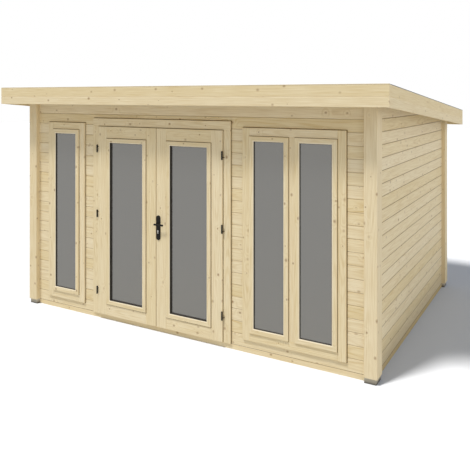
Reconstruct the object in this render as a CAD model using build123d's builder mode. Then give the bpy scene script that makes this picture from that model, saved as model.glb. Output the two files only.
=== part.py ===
from build123d import *
import os
from math import atan2, ceil, cos, degrees, floor, radians, sin, tan

# Garden office pod: a hollow timber cabin with a pent roof, double doors and two fixed windows.
# Frame: millimetres, +Z up, the front faces -Y, origin on the ground under the middle of the roof.

# Walls and base
wall_width = 4025.0
wall_depth = 3000.0
wall_thickness = 45.0
board_cover = 113.4
joint_width = 9.0
joint_depth = 4.0
bearer_height = 50.0
bearer_width = 70.0
joist_count = 7
joist_width = 45.0
floor_thickness = 22.0

# Roof
front_height = 2500.0
roof_fall = 274.0
front_overhang = 306.0
rear_overhang = 142.0
side_overhang = 212.5
covering_thickness = 6.0
deck_thickness = 19.0
fascia_thickness = 20.0
upper_fascia = 96.0
lower_fascia = 83.0
purlin_width = 45.0
purlin_depth = 95.0
room_purlin_count = 4

# Corner posts, each an L around one wall corner, on a short foot
post_face = 115.0
post_front_thickness = 50.0
post_side_thickness = 42.0
post_return = 93.0
post_arris = 3.0
foot_inset = 12.0

# Frames round the openings: a face on the wall, a liner through it and a stop behind
frame_face = 76.0
frame_proud = 20.0
liner_thickness = 28.0
stop_width = 15.0
stop_setback = 15.0

# Windows
window_sill = 199.0
window_head_drop = 50.0
light_width = 400.0
mullion_width = 60.0
corner_pier_extra = 31.0
sash_face = 47.0
sash_proud = 15.0
sash_fit = 1.0
glass_recess = 17.0
glass_thickness = 24.0
bead_chamfer = 5.0

# Doors
door_opening = 1577.0
door_head = 2081.0
head_face = 82.0
door_gap = 6.0
meeting_gap = 7.0
leaf_proud = 15.0
leaf_thickness = 45.0
stile_width = 126.0
bottom_rail = 120.0
glazing_face = 45.0
glazing_proud = 10.0
threshold_height = 34.0
threshold_chamfer = 8.0

# Hinges, three to each leaf: barrels in front of the joint, on flat tangs let into slots in the wood
# at an angle from the wall's normal
hinge_heights = (310.0, 1135.0, 1837.0)
barrel_length = 85.0
barrel_radius = 8.0
barrel_gap = 0.3
barrel_clearance = 1.0
barrel_chamfer = 2.0
pin_radius = 4.0
pin_clearance = 0.3
pin_end = 4.0
tang_thickness = 3.0
tang_height = 32.0
tang_length = 48.0
tang_fit = 0.3
jamb_tang_angle = 25.0
leaf_tang_angle = 45.0

# Handle on the right leaf: long plates, a sprung lever and a profile cylinder
plate_length = 250.0
plate_width = 50.0
plate_thickness = 9.0
plate_edge = 2.0
plate_chamfer = 3.0
plate_drop = 40.0
lever_height = 1107.0
lever_length = 116.0
lever_tail = 22.0
lever_reach = 52.0
lever_thickness = 13.0
lever_chamfer = 4.0
neck_radius = 9.0
spindle_radius = 5.0
running_clearance = 0.5
spindle_hole_radius = 11.0
cylinder_drop = 72.0
cylinder_radius = 8.5
cylinder_stem = 10.0
cylinder_height = 33.0
cylinder_proud = 3.0
cylinder_clearance = 0.3

# Places worked out from the sizes above
roof_width = wall_width + 2 * side_overhang
roof_depth = wall_depth + front_overhang + rear_overhang
roof_front = -roof_depth / 2
roof_back = roof_depth / 2
wall_front = roof_front + front_overhang
wall_back = wall_front + wall_depth
wall_right = wall_width / 2
inner_front = wall_front + wall_thickness
inner_back = wall_back - wall_thickness
inner_right = wall_right - wall_thickness
slope = atan2(roof_fall, roof_depth)
fascia_depth = upper_fascia + lower_fascia
deck_drop = covering_thickness + deck_thickness
frame_front = wall_front - frame_proud
stop_front = wall_front + stop_setback
sash_front = frame_front - sash_proud
leaf_front = frame_front - leaf_proud
leaf_back = leaf_front + leaf_thickness
right_window_width = 2 * light_width + mullion_width
openings_width = light_width + door_opening + right_window_width
pier_width = (wall_width - openings_width - 2 * corner_pier_extra) / 4
left_window_x = -wall_right + pier_width + corner_pier_extra
door_left = left_window_x + light_width + pier_width
door_right = door_left + door_opening
door_centre_x = (door_left + door_right) / 2
right_window_x = door_right + pier_width
window_head = door_head - window_head_drop
leaf_bottom = bearer_height + door_gap
leaf_top = door_head - door_gap
leaf_width = (door_opening - 2 * door_gap - meeting_gap) / 2
hinge_y = leaf_front - barrel_clearance - barrel_radius
tang_rise = (barrel_length + barrel_gap) / 4
plate_x = door_centre_x + meeting_gap / 2 + plate_edge + plate_width / 2
plate_centre_z = lever_height - plate_drop
cylinder_z = lever_height - cylinder_drop


def roof_z(y, drop=0.0):
    """Height of the roof's top surface at y, less a vertical drop."""
    return front_height - (y - roof_front) * tan(slope) - drop


def roof_plane(drop):
    """Plane parallel to the roof, a vertical drop below its top surface."""
    return Plane(origin=(0, 0, roof_z(0, drop)), x_dir=(1, 0, 0), z_dir=(0, sin(slope), cos(slope)))


def save(piece, name):
    """Label a finished piece and write its STEP file."""
    piece.part.label = name
    export_step(piece.part, f"parts/{name}.step")


def block(x0, x1, y0, y1, z0, z1):
    """Plank or post with square edges between two corners."""
    with BuildPart() as plank:
        with BuildSketch(Plane.XY.offset(z0)):
            with Locations(((x0 + x1) / 2, (y0 + y1) / 2)):
                Rectangle(x1 - x0, y1 - y0)
        extrude(amount=z1 - z0)
    return plank


def sloped_slab(half_width, y0, y1, top_drop, bottom_drop):
    """Slab parallel to the roof, between two vertical drops below its top surface."""
    with BuildPart() as slab:
        with BuildSketch(Plane.YZ):
            with BuildLine():
                Polyline(
                    (y0, roof_z(y0, top_drop)),
                    (y1, roof_z(y1, top_drop)),
                    (y1, roof_z(y1, bottom_drop)),
                    (y0, roof_z(y0, bottom_drop)),
                    close=True,
                )
            make_face()
        extrude(amount=half_width, both=True)
    return slab


def ring(x0, x1, z0, z1, bar, front, back):
    """Rectangular frame in the plane of the front wall, with bars of one width inside its outline."""
    middle = ((x0 + x1) / 2, (z0 + z1) / 2)
    with BuildPart() as frame:
        with BuildSketch(Plane.XZ.offset(-back)):
            with Locations(middle):
                Rectangle(x1 - x0, z1 - z0)
                Rectangle(x1 - x0 - 2 * bar, z1 - z0 - 2 * bar, mode=Mode.SUBTRACT)
        extrude(amount=back - front)
    return frame


def glazing_ring(x0, x1, z0, z1, bar, front, back):
    """Ring that holds glass, with a chamfer round the glass on its outer face."""
    frame = ring(x0, x1, z0, z1, bar, front, back)
    with frame:
        inner = frame.faces().sort_by(Axis.Y)[0].inner_wires()[0]
        chamfer(inner.edges(), length=bead_chamfer)
    return frame


def pane(x0, x1, z0, z1, front):
    """Sealed glass unit, its outer face at front."""
    return block(x0, x1, front, front + glass_thickness, z0, z1)


# Base: four bearers on the ground, joists between them and the floor on top
def base():
    """Bearers, joists and floor."""
    side_end = wall_back - bearer_width
    side_start = wall_front + bearer_width
    with BuildPart() as bearers:
        with BuildSketch():
            with Locations((0, (wall_front + wall_back) / 2)):
                Rectangle(wall_width, wall_depth)
                Rectangle(wall_width - 2 * bearer_width, wall_depth - 2 * bearer_width, mode=Mode.SUBTRACT)
        extrude(amount=bearer_height)
    save(bearers, "base_bearers")

    room_span = wall_width - 2 * bearer_width
    spacing = (room_span - joist_count * joist_width) / (joist_count + 1) + joist_width
    with BuildPart() as joists:
        with BuildSketch():
            with Locations((0, (side_start + side_end) / 2)):
                with GridLocations(spacing, 1, joist_count, 1):
                    Rectangle(joist_width, side_end - side_start)
        extrude(amount=bearer_height)
    save(joists, "floor_joists")

    floor_top = bearer_height + floor_thickness
    save(block(-inner_right, inner_right, inner_front, inner_back, bearer_height, floor_top), "floor")


# Walls: courses of boards with a V joint between them, level with each other all round.
# The front wall is split beside, under and over its openings
def board_section(low_face, high_face, z0, z1):
    """Outline of a wall across its thickness, with a V at every joint on both faces."""
    first = ceil((z0 + joint_width - bearer_height) / board_cover)
    last = floor((z1 - joint_width - bearer_height) / board_cover)
    joints = [bearer_height + i * board_cover for i in range(first, last + 1)]
    half = joint_width / 2
    points = [(low_face, z0)]
    for z in joints:
        points += [(low_face, z - half), (low_face + joint_depth, z), (low_face, z + half)]
    points += [(low_face, z1), (high_face, z1)]
    for z in reversed(joints):
        points += [(high_face, z + half), (high_face - joint_depth, z), (high_face, z - half)]
    points.append((high_face, z0))
    return points


def board_wall(plane, length, low_face, high_face, z0, z1=None):
    """Wall of boards drawn on a plane across it; without z1 it runs up to the roof boards."""
    top = front_height if z1 is None else z1
    with BuildPart() as wall:
        with BuildSketch(plane):
            with BuildLine():
                Polyline(*board_section(low_face, high_face, z0, top), close=True)
            make_face()
        extrude(amount=length)
        if z1 is None:
            split(bisect_by=roof_plane(deck_drop), keep=Keep.BOTTOM)
    return wall


def front_boards(x0, x1, z0, z1=None):
    """Stretch of the front wall between x0 and x1."""
    return board_wall(Plane.YZ.offset(x0), x1 - x0, wall_front, inner_front, z0, z1)


def window_span(left_edge, lights):
    """Left and right edge of a window's clear opening."""
    return left_edge, left_edge + lights * light_width + (lights - 1) * mullion_width


def front_wall():
    """Front wall in pieces between the rough openings."""
    left_a, left_b = window_span(left_window_x, 1)
    right_a, right_b = window_span(right_window_x, 2)
    head = door_head + liner_thickness
    sill = window_sill - liner_thickness
    window_top = window_head + liner_thickness
    piers = (
        ("front_wall_left", -wall_right, left_a - liner_thickness),
        ("front_wall_mid_left", left_b + liner_thickness, door_left - liner_thickness),
        ("front_wall_mid_right", door_right + liner_thickness, right_a - liner_thickness),
        ("front_wall_right", right_b + liner_thickness, wall_right),
    )
    for name, x0, x1 in piers:
        save(front_boards(x0, x1, bearer_height, head), name)
    for name, z0, z1 in (("wall_under_windows", bearer_height, sill), ("wall_over_windows", window_top, head)):
        with BuildPart() as infill:
            for a, b in ((left_a, left_b), (right_a, right_b)):
                add(front_boards(a - liner_thickness, b + liner_thickness, z0, z1).part)
        save(infill, name)
    save(front_boards(-wall_right, wall_right, head), "front_wall_top")


def purlin_places():
    """Front edge of each purlin: one at either eave and the rest spread over the room."""
    first = roof_front + fascia_thickness
    last = roof_back - fascia_thickness - purlin_width
    step = (inner_back - inner_front) / (room_purlin_count + 1)
    room = [inner_front + step * (i + 1) - purlin_width / 2 for i in range(room_purlin_count)]
    return [first] + room + [last]


def purlin(y0):
    """One purlin from side fascia to side fascia, its top planed to the roof's slope."""
    y1 = y0 + purlin_width
    bottom = roof_z(y1, deck_drop) - purlin_depth
    with BuildPart() as beam:
        with BuildSketch(Plane.YZ):
            with BuildLine():
                Polyline(
                    (y0, roof_z(y0, deck_drop)),
                    (y1, roof_z(y1, deck_drop)),
                    (y1, bottom),
                    (y0, bottom),
                    close=True,
                )
            make_face()
        extrude(amount=roof_width / 2 - fascia_thickness, both=True)
    return beam


def other_walls(beams):
    """Side walls, notched for the purlins that cross them, and the rear wall."""
    across = Plane.XZ.offset(-inner_back)
    for side, x0, x1 in (("left", -wall_right, -inner_right), ("right", inner_right, wall_right)):
        wall = board_wall(across, inner_back - inner_front, x0, x1, bearer_height)
        with wall:
            for beam in beams:
                add(beam.part, mode=Mode.SUBTRACT)
        save(wall, f"{side}_wall")
    save(board_wall(Plane.YZ.offset(-wall_right), wall_width, inner_back, wall_back, bearer_height), "rear_wall")


def post_outline(inset):
    """L round the front right wall corner, drawn in plan."""
    x_out = wall_right + post_side_thickness - inset
    y_out = wall_front - post_front_thickness + inset
    x_in = wall_right + post_side_thickness - post_face
    y_in = wall_front + post_return
    with BuildLine() as outline:
        Polyline(
            (x_in, y_out),
            (x_out, y_out),
            (x_out, y_in),
            (wall_right, y_in),
            (wall_right, wall_front),
            (x_in, wall_front),
            close=True,
        )
    return outline


def corner_posts():
    """Four corner posts up to the roof boards, and the feet under them."""
    middle = (wall_front + wall_back) / 2
    mid_plane = Plane.XZ.offset(-middle)
    with BuildPart() as front_post:
        with BuildSketch(Plane.XY.offset(bearer_height)) as section:
            add(post_outline(0).line)
            make_face()
            chamfer(section.vertices().group_by(Axis.Y)[0], length=post_arris)
        extrude(amount=front_height - bearer_height)
    with BuildPart() as foot:
        with BuildSketch():
            add(post_outline(foot_inset).line)
            make_face()
        extrude(amount=bearer_height)

    for row in ("front", "rear"):
        for side in ("left", "right"):
            with BuildPart() as post:
                add(front_post.part)
                if row == "rear":
                    mirror(about=mid_plane, mode=Mode.REPLACE)
                if side == "left":
                    mirror(about=Plane.YZ, mode=Mode.REPLACE)
                split(bisect_by=roof_plane(deck_drop), keep=Keep.BOTTOM)
            save(post, f"{row}_{side}_post")

    with BuildPart() as feet:
        add(foot.part)
        mirror(about=mid_plane)
        mirror(about=Plane.YZ)
    save(feet, "post_feet")


# Roof: purlins, boards, a thin covering and fascias of two boards, one over the other, all round
def fascia_section(outer, inner, outer_top, inner_top):
    """Fascia across its thickness: a V at the joint of its boards, on the outer face."""
    joint = outer_top - covering_thickness - upper_fascia
    half = joint_width / 2
    depth = joint_depth if inner > outer else -joint_depth
    return (
        (outer, outer_top - covering_thickness),
        (outer, joint + half),
        (outer + depth, joint),
        (outer, joint - half),
        (outer, joint - lower_fascia),
        (inner, inner_top - covering_thickness - fascia_depth),
        (inner, inner_top - covering_thickness),
    )


def roof(beams):
    """Everything above the walls."""
    with BuildPart() as purlins:
        for beam in beams:
            add(beam.part)
    save(purlins, "purlins")

    half_deck = roof_width / 2 - fascia_thickness
    deck_y0 = roof_front + fascia_thickness
    deck_y1 = roof_back - fascia_thickness
    save(sloped_slab(half_deck, deck_y0, deck_y1, covering_thickness, deck_drop), "roof_deck")
    save(sloped_slab(roof_width / 2, roof_front, roof_back, 0, covering_thickness), "roof_covering")

    for row, outer, inner in (("front", roof_front, deck_y0), ("rear", roof_back, deck_y1)):
        with BuildPart() as fascia:
            with BuildSketch(Plane.YZ):
                with BuildLine():
                    Polyline(*fascia_section(outer, inner, roof_z(outer), roof_z(inner)), close=True)
                make_face()
            extrude(amount=roof_width / 2, both=True)
        save(fascia, f"{row}_fascia")

    top = roof_z(deck_y1)
    down_slope = (deck_y1 - deck_y0) / cos(slope)
    with BuildPart() as side_fascia:
        with BuildSketch(Plane.XZ.offset(-deck_y1)):
            with BuildLine():
                Polyline(*fascia_section(roof_width / 2, half_deck, top, top), close=True)
            make_face()
        extrude(amount=down_slope, dir=(0, -cos(slope), sin(slope)))
    save(side_fascia, "right_fascia")
    with BuildPart() as left_fascia:
        add(side_fascia.part)
        mirror(about=Plane.YZ, mode=Mode.REPLACE)
    save(left_fascia, "left_fascia")


# Windows: frame with face, liner and stop, one sash to each light, sealed glass
def window(side, left_edge, lights):
    """One fixed window of one or more lights; returns the trim round it inside the room."""
    a, b = window_span(left_edge, lights)
    z0 = window_sill
    z1 = window_head
    with BuildPart() as frame:
        add(ring(a - frame_face, b + frame_face, z0 - frame_face, z1 + frame_face,
                 frame_face, frame_front, wall_front).part)
        add(ring(a - liner_thickness, b + liner_thickness, z0 - liner_thickness, z1 + liner_thickness,
                 liner_thickness, wall_front, inner_front).part)
        add(ring(a, b, z0, z1, stop_width, stop_front, inner_front).part)
        for i in range(1, lights):
            x0 = a + i * light_width + (i - 1) * mullion_width
            x1 = x0 + mullion_width
            add(block(x0, x1, frame_front, inner_front, z0, z1).part)
            add(block(x0 - stop_width, x1 + stop_width, stop_front, inner_front, z0, z1).part)
    save(frame, f"{side}_window_frame")

    with BuildPart() as sashes:
        for i in range(lights):
            x0 = a + i * (light_width + mullion_width) + sash_fit
            x1 = x0 + light_width - 2 * sash_fit
            add(glazing_ring(x0, x1, z0 + sash_fit, z1 - sash_fit, sash_face, sash_front, stop_front).part)
    save(sashes, f"{side}_window_sash")

    with BuildPart() as glass:
        for i in range(lights):
            x0 = a + i * (light_width + mullion_width) + sash_fit + sash_face
            x1 = x0 + light_width - 2 * sash_fit - 2 * sash_face
            low = z0 + sash_fit + sash_face
            high = z1 - sash_fit - sash_face
            add(pane(x0, x1, low, high, sash_front + glass_recess).part)
    save(glass, f"{side}_window_glass")

    return ring(a - frame_face, b + frame_face, z0 - frame_face, z1 + frame_face,
                frame_face, inner_front, inner_front + frame_proud)


def windows():
    """Both windows, and the trims round them inside the room."""
    trims = [window("left", left_window_x, 1), window("right", right_window_x, 2)]
    with BuildPart() as inner_trims:
        for trim in trims:
            add(trim.part)
    save(inner_trims, "window_inner_trims")


# Each side of the doorway: its name, its clear edge, the way out from the leaf to the jamb along x,
# and the place of the hinges' axis
doorway_sides = (
    ("left", door_left, -1, door_left + door_gap / 2),
    ("right", door_right, 1, door_right - door_gap / 2),
)


def tang(axis_x, z, way, angle, grow=0.0):
    """Flat tang from a hinge's axis into the wood, leaning way along x, or its slot grown by a fit."""
    into_wood = (way * sin(radians(angle)), cos(radians(angle)), 0)
    with BuildPart() as plate:
        with BuildSketch(Plane(origin=(axis_x, hinge_y, z), x_dir=(0, 0, 1), z_dir=into_wood)):
            Rectangle(tang_height + 2 * grow, tang_thickness + 2 * grow)
        extrude(amount=tang_length + grow)
    return plate


# Door frame: two jambs, a head and a threshold
def jamb_points(edge, out):
    """Jamb profile in plan from its clear edge, growing outwards along out."""
    return (
        (edge, frame_front),
        (edge + out * frame_face, frame_front),
        (edge + out * frame_face, wall_front),
        (edge + out * liner_thickness, wall_front),
        (edge + out * liner_thickness, inner_front),
        (edge - out * stop_width, inner_front),
        (edge - out * stop_width, stop_front),
        (edge, stop_front),
    )


def door_frame():
    """Jambs, head and threshold round the doorway, with the trim inside the room."""
    for side, edge, out, axis_x in doorway_sides:
        with BuildPart() as jamb:
            with BuildSketch(Plane.XY.offset(bearer_height)):
                with BuildLine():
                    Polyline(*jamb_points(edge, out), close=True)
                make_face()
            extrude(amount=door_head - bearer_height)
            for z in hinge_heights:
                add(tang(axis_x, z - tang_rise, out, jamb_tang_angle, tang_fit).part, mode=Mode.SUBTRACT)
        save(jamb, f"door_jamb_{side}")

    top = door_head + head_face
    rough = door_head + liner_thickness
    with BuildPart() as head:
        with BuildSketch(Plane.XZ.offset(-wall_front)):
            with Locations((door_centre_x, (door_head + top) / 2)):
                Rectangle(door_opening + 2 * frame_face, head_face)
        extrude(amount=frame_proud)
        with BuildSketch(Plane.XZ.offset(-inner_front)):
            with Locations((door_centre_x, (door_head + rough) / 2)):
                Rectangle(door_opening + 2 * liner_thickness, liner_thickness)
        extrude(amount=wall_thickness)
        with BuildSketch(Plane.XZ.offset(-inner_front)):
            with Locations((door_centre_x, door_head - stop_width / 2)):
                Rectangle(door_opening - 2 * stop_width, stop_width)
        extrude(amount=inner_front - stop_front)
    save(head, "door_head")

    threshold = block(door_left + stop_width, door_right - stop_width, stop_front, inner_front,
                      bearer_height, bearer_height + threshold_height)
    with threshold:
        chamfer(threshold.edges().filter_by(Axis.X).group_by(Axis.Z)[-1], length=threshold_chamfer)
    save(threshold, "threshold")

    floor_top = bearer_height + floor_thickness
    with BuildPart() as trim:
        with BuildSketch(Plane.XZ.offset(-inner_front - frame_proud)):
            with Locations((door_centre_x, (floor_top + top) / 2)):
                Rectangle(door_opening + 2 * frame_face, top - floor_top)
            with Locations((door_centre_x, (floor_top + door_head) / 2)):
                Rectangle(door_opening, door_head - floor_top, mode=Mode.SUBTRACT)
        extrude(amount=frame_proud)
    save(trim, "door_inner_trim")


def cylinder_profile(grow):
    """Profile cylinder outline, round above and a straight stem below, grown by a clearance."""
    radius = cylinder_radius + grow
    stem = cylinder_stem + 2 * grow
    stem_end = cylinder_height - cylinder_radius + grow
    with BuildSketch(Plane.XZ) as profile:
        with Locations((plate_x, cylinder_z)):
            Circle(radius)
        with Locations((plate_x, cylinder_z - stem_end / 2)):
            Rectangle(stem, stem_end)
    return profile


def handle_bores(front, back, radius):
    """Spindle bore and cylinder slot through one layer of the active leaf."""
    with BuildPart() as bores:
        with BuildSketch(Plane.XZ.offset(-back)):
            with Locations((plate_x, lever_height)):
                Circle(radius)
            add(cylinder_profile(cylinder_clearance).sketch.moved(Location((0, back, 0))))
        extrude(amount=back - front)
    return bores


def doors():
    """Two leaves with glazing frames and glass; the right one carries the handle."""
    for side, _, out, axis_x in doorway_sides:
        x0 = door_left + door_gap if side == "left" else door_centre_x + meeting_gap / 2
        x1 = x0 + leaf_width
        g0 = x0 + stile_width
        g1 = x1 - stile_width
        low = leaf_bottom + bottom_rail
        high = leaf_top - stile_width
        with BuildPart() as leaf:
            with BuildSketch(Plane.XZ.offset(-leaf_back)):
                with Locations(((x0 + x1) / 2, (leaf_bottom + leaf_top) / 2)):
                    Rectangle(x1 - x0, leaf_top - leaf_bottom)
                with Locations(((g0 + g1) / 2, (low + high) / 2)):
                    Rectangle(g1 - g0, high - low, mode=Mode.SUBTRACT)
            extrude(amount=leaf_thickness)
            for z in hinge_heights:
                add(tang(axis_x, z + tang_rise, -out, leaf_tang_angle, tang_fit).part, mode=Mode.SUBTRACT)
            if side == "right":
                add(handle_bores(leaf_front, leaf_back, spindle_hole_radius).part, mode=Mode.SUBTRACT)
        save(leaf, f"{side}_door_leaf")

        glazing_front = leaf_front - glazing_proud
        save(glazing_ring(g0, g1, low, high, glazing_face, glazing_front, leaf_back + glazing_proud),
             f"{side}_door_glazing_frame")
        save(pane(g0 + glazing_face, g1 - glazing_face, low + glazing_face, high - glazing_face,
                  leaf_front + glass_recess), f"{side}_door_glass")


# Hinges: the lower half of each barrel is on the jamb with the pin, the upper half on the leaf
def round_bar(x, low, high, radius, chamfered=None):
    """Upright round bar on a hinge's axis, with one end chamfered: 0 the lower, -1 the upper."""
    with BuildPart() as bar:
        with BuildSketch(Plane.XY.offset(low)):
            with Locations((x, hinge_y)):
                Circle(radius)
        extrude(amount=high - low)
        if chamfered is not None:
            chamfer(bar.edges().group_by(Axis.Z)[chamfered], length=barrel_chamfer)
    return bar


def hinges():
    """Barrel halves on their tangs, three on each jamb and three on each leaf."""
    reach = barrel_length / 2
    half = (barrel_length - barrel_gap) / 2
    for side, _, out, axis_x in doorway_sides:
        with BuildPart() as jamb_side:
            for z in hinge_heights:
                add(round_bar(axis_x, z - reach, z - reach + half, barrel_radius, 0).part)
                add(round_bar(axis_x, z - reach + pin_end, z + reach - pin_end, pin_radius).part)
                add(tang(axis_x, z - tang_rise, out, jamb_tang_angle).part)
        save(jamb_side, f"{side}_hinge_jamb_side")

        with BuildPart() as leaf_side:
            for z in hinge_heights:
                low = z + reach - half
                add(round_bar(axis_x, low, z + reach, barrel_radius, -1).part)
                add(tang(axis_x, z + tang_rise, -out, leaf_tang_angle).part)
                bore = round_bar(axis_x, low, z + reach - pin_end + barrel_clearance, pin_radius + pin_clearance)
                add(bore.part, mode=Mode.SUBTRACT)
        save(leaf_side, f"{side}_hinge_leaf_side")


def handle():
    """Long plates on both faces, the lever on its spindle and the lock cylinder."""
    layers = ((leaf_front - plate_thickness, leaf_front), (leaf_back, leaf_back + plate_thickness))
    with BuildPart() as plates:
        for front, back in layers:
            with BuildSketch(Plane.XZ.offset(-back)):
                with Locations((plate_x, plate_centre_z)):
                    SlotOverall(plate_length, plate_width, rotation=90)
            extrude(amount=back - front)
        for face in (plates.faces().sort_by(Axis.Y)[0], plates.faces().sort_by(Axis.Y)[-1]):
            chamfer(face.edges(), length=plate_chamfer)
        for front, back in layers:
            add(handle_bores(front, back, neck_radius + running_clearance).part, mode=Mode.SUBTRACT)
    save(plates, "handle_plates")

    outer_end = leaf_front - plate_thickness - lever_reach
    inner_end = leaf_back + plate_thickness + lever_reach
    with BuildPart() as lever:
        with BuildSketch(Plane.XZ.offset(-inner_end)):
            with Locations((plate_x, lever_height)):
                Circle(spindle_radius)
        extrude(amount=inner_end - outer_end)
        for front, back in ((outer_end, leaf_front), (leaf_back, inner_end)):
            with BuildSketch(Plane.XZ.offset(-back)):
                with Locations((plate_x, lever_height)):
                    Circle(neck_radius)
            extrude(amount=back - front)
        grip_x = plate_x - lever_tail + lever_length / 2
        for front in (outer_end, inner_end - lever_thickness):
            with BuildSketch(Plane.XZ.offset(-front - lever_thickness)):
                with Locations((grip_x, lever_height)):
                    SlotOverall(lever_length, 2 * neck_radius)
            extrude(amount=lever_thickness)
        for face in (lever.faces().sort_by(Axis.Y)[0], lever.faces().sort_by(Axis.Y)[-1]):
            chamfer(face.edges(), length=lever_chamfer)
    save(lever, "door_lever")

    front = leaf_front - plate_thickness - cylinder_proud
    back = leaf_back + plate_thickness + cylinder_proud
    with BuildPart() as cylinder:
        with BuildSketch(Plane.XZ.offset(-back)):
            add(cylinder_profile(0).sketch.moved(Location((0, back, 0))))
        extrude(amount=back - front)
    save(cylinder, "lock_cylinder")


os.makedirs("parts", exist_ok=True)
base()
beams = [purlin(y) for y in purlin_places()]
front_wall()
other_walls(beams)
corner_posts()
roof(beams)
windows()
door_frame()
doors()
hinges()
handle()
print("roof", roof_width, roof_depth, "slope", round(degrees(slope), 2))
print("left hinge", door_left + door_gap / 2, hinge_y, "right hinge", door_right - door_gap / 2, hinge_y)
print("spindle", plate_x, lever_height, "walls", wall_front, wall_back)
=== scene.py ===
import logging
import math
from dataclasses import dataclass, field
from enum import Enum
from typing import Sequence

import bpy
import numpy as np
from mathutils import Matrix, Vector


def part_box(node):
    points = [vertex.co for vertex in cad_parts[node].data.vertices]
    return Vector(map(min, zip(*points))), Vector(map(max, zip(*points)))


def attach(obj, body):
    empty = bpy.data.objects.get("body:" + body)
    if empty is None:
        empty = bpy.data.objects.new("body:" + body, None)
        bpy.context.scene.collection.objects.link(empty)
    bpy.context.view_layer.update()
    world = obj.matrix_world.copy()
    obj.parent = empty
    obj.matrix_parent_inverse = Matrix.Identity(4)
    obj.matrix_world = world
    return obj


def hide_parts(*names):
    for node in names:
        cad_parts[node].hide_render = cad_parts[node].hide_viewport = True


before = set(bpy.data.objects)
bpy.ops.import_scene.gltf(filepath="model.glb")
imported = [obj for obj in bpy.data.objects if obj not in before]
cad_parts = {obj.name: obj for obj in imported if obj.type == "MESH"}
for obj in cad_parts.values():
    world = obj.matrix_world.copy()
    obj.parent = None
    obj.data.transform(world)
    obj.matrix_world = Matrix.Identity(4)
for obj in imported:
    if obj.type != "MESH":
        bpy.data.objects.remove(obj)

# Garden office pod in planed spruce: its planks, sealed glazing, felt and fittings, dressed over the
# fixed frame. Metres throughout, +Z up, the doors face -Y.
LOG = logging.getLogger("garden_office")
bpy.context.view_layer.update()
MM = 0.001
# Shorter than any step in a shape, for comparing places
TINY = 1e-6
# Length of the imagined trunk that boards are cut from, and the sine hash that places them along it
TRUNK = 40.0
HASH = (12.9898, 78.233, 37.719)
HASH_SIZE = 437.585
# How far the strips of painted shade stand out of the face that they lie on, and how far they sink in
SHADE_STRIP_PROUD = 1 * MM
SHADE_STRIP_SUNK = 0.3 * MM
# Numbers of a Mix node's colour sockets: both tones, and the result
TONE_A, TONE_B, MIXED = 6, 7, 2

Tree, Node, Socket = bpy.types.NodeTree, bpy.types.Node, bpy.types.NodeSocket
Material = bpy.types.Material
Pair = tuple[float, float]
Point = Sequence[float]
Faces = list[tuple[int, ...]]


class Axis(Enum):
    """Direction that a board runs in."""

    X = 0
    Y = 1
    Z = 2


class Run(Enum):
    """Where a finish reads along, across and through the grain: three axes, or the piece's own."""

    PIECE = "grain"
    ALONG_X_UPRIGHT = "XZY"
    ALONG_X_FLAT = "XYZ"
    ALONG_Y_UPRIGHT = "YZX"
    ALONG_Z = "ZXY"


@dataclass
class Shape:
    """Closed surface: points in metres, faces as point numbers, and grain places per face corner."""

    points: np.ndarray
    faces: Faces
    grain: np.ndarray


def plain(points: np.ndarray, faces: Faces) -> Shape:
    """Surface with no grain of its own, whose grain places are plain object places."""
    return Shape(points, faces, points[np.concatenate(faces)])


def joined(shapes: Sequence[Shape]) -> Shape:
    """Puts several surfaces into one.

    Args:
        shapes: Surfaces to join; their points are kept apart.

    Returns:
        One shape with all their faces.
    """
    starts = np.cumsum([0] + [len(s.points) for s in shapes[:-1]])
    faces = [tuple(i + int(start) for i in face)
             for s, start in zip(shapes, starts) for face in s.faces]
    points, grain = (np.vstack([getattr(s, part) for s in shapes]) for part in ("points", "grain"))
    return Shape(points, faces, grain)


def facing_out(points: np.ndarray, faces: Faces) -> Faces:
    """Turns the faces of a closed surface outwards.

    The volume is a sixth of the sum of the triple products of each face's fan of triangles; where it
    comes out negative the surface is inside out and every face is reversed.

    Args:
        points: Points of the surface.
        faces: Faces that all turn the same way.

    Returns:
        The faces, pointing outwards.
    """
    fans = np.array([(f[0], f[i], f[i + 1]) for f in faces for i in range(1, len(f) - 1)])
    a, b, c = (points[fans[:, i]] for i in range(3))
    volume = np.einsum("ij,ij->i", a, np.cross(b, c)).sum() / 6
    return faces if volume > 0 else [tuple(reversed(f)) for f in faces]


def carried(sections: np.ndarray, closed: bool) -> tuple[np.ndarray, Faces]:
    """Skins a row of outlines, each with the same number of points.

    Args:
        sections: Array of stations by outline points by three.
        closed: True where the last station joins the first; otherwise both ends get a flat cap.

    Returns:
        Points and outward faces of the surface.
    """
    stations, around = sections.shape[:2]
    points = sections.reshape(-1, 3)
    rows = stations if closed else stations - 1
    i, j = np.meshgrid(np.arange(rows), np.arange(around), indexing="ij")
    here, after, beside = i * around, (i + 1) % stations * around, (j + 1) % around
    quads = np.stack([here + j, here + beside, after + beside, after + j], -1)
    faces = [tuple(q) for q in quads.reshape(-1, 4).tolist()]
    if not closed:
        faces.append(tuple(range(around - 1, -1, -1)))
        faces.append(tuple(range((stations - 1) * around, stations * around)))
    return points, facing_out(points, faces)


def tree_shift(middle: np.ndarray) -> float:
    """Places a board somewhere along the trunk, by a hash of its own middle, so no two look alike."""
    return TRUNK * float(np.modf(np.abs(np.sin(middle @ HASH) * HASH_SIZE))[0])


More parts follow.
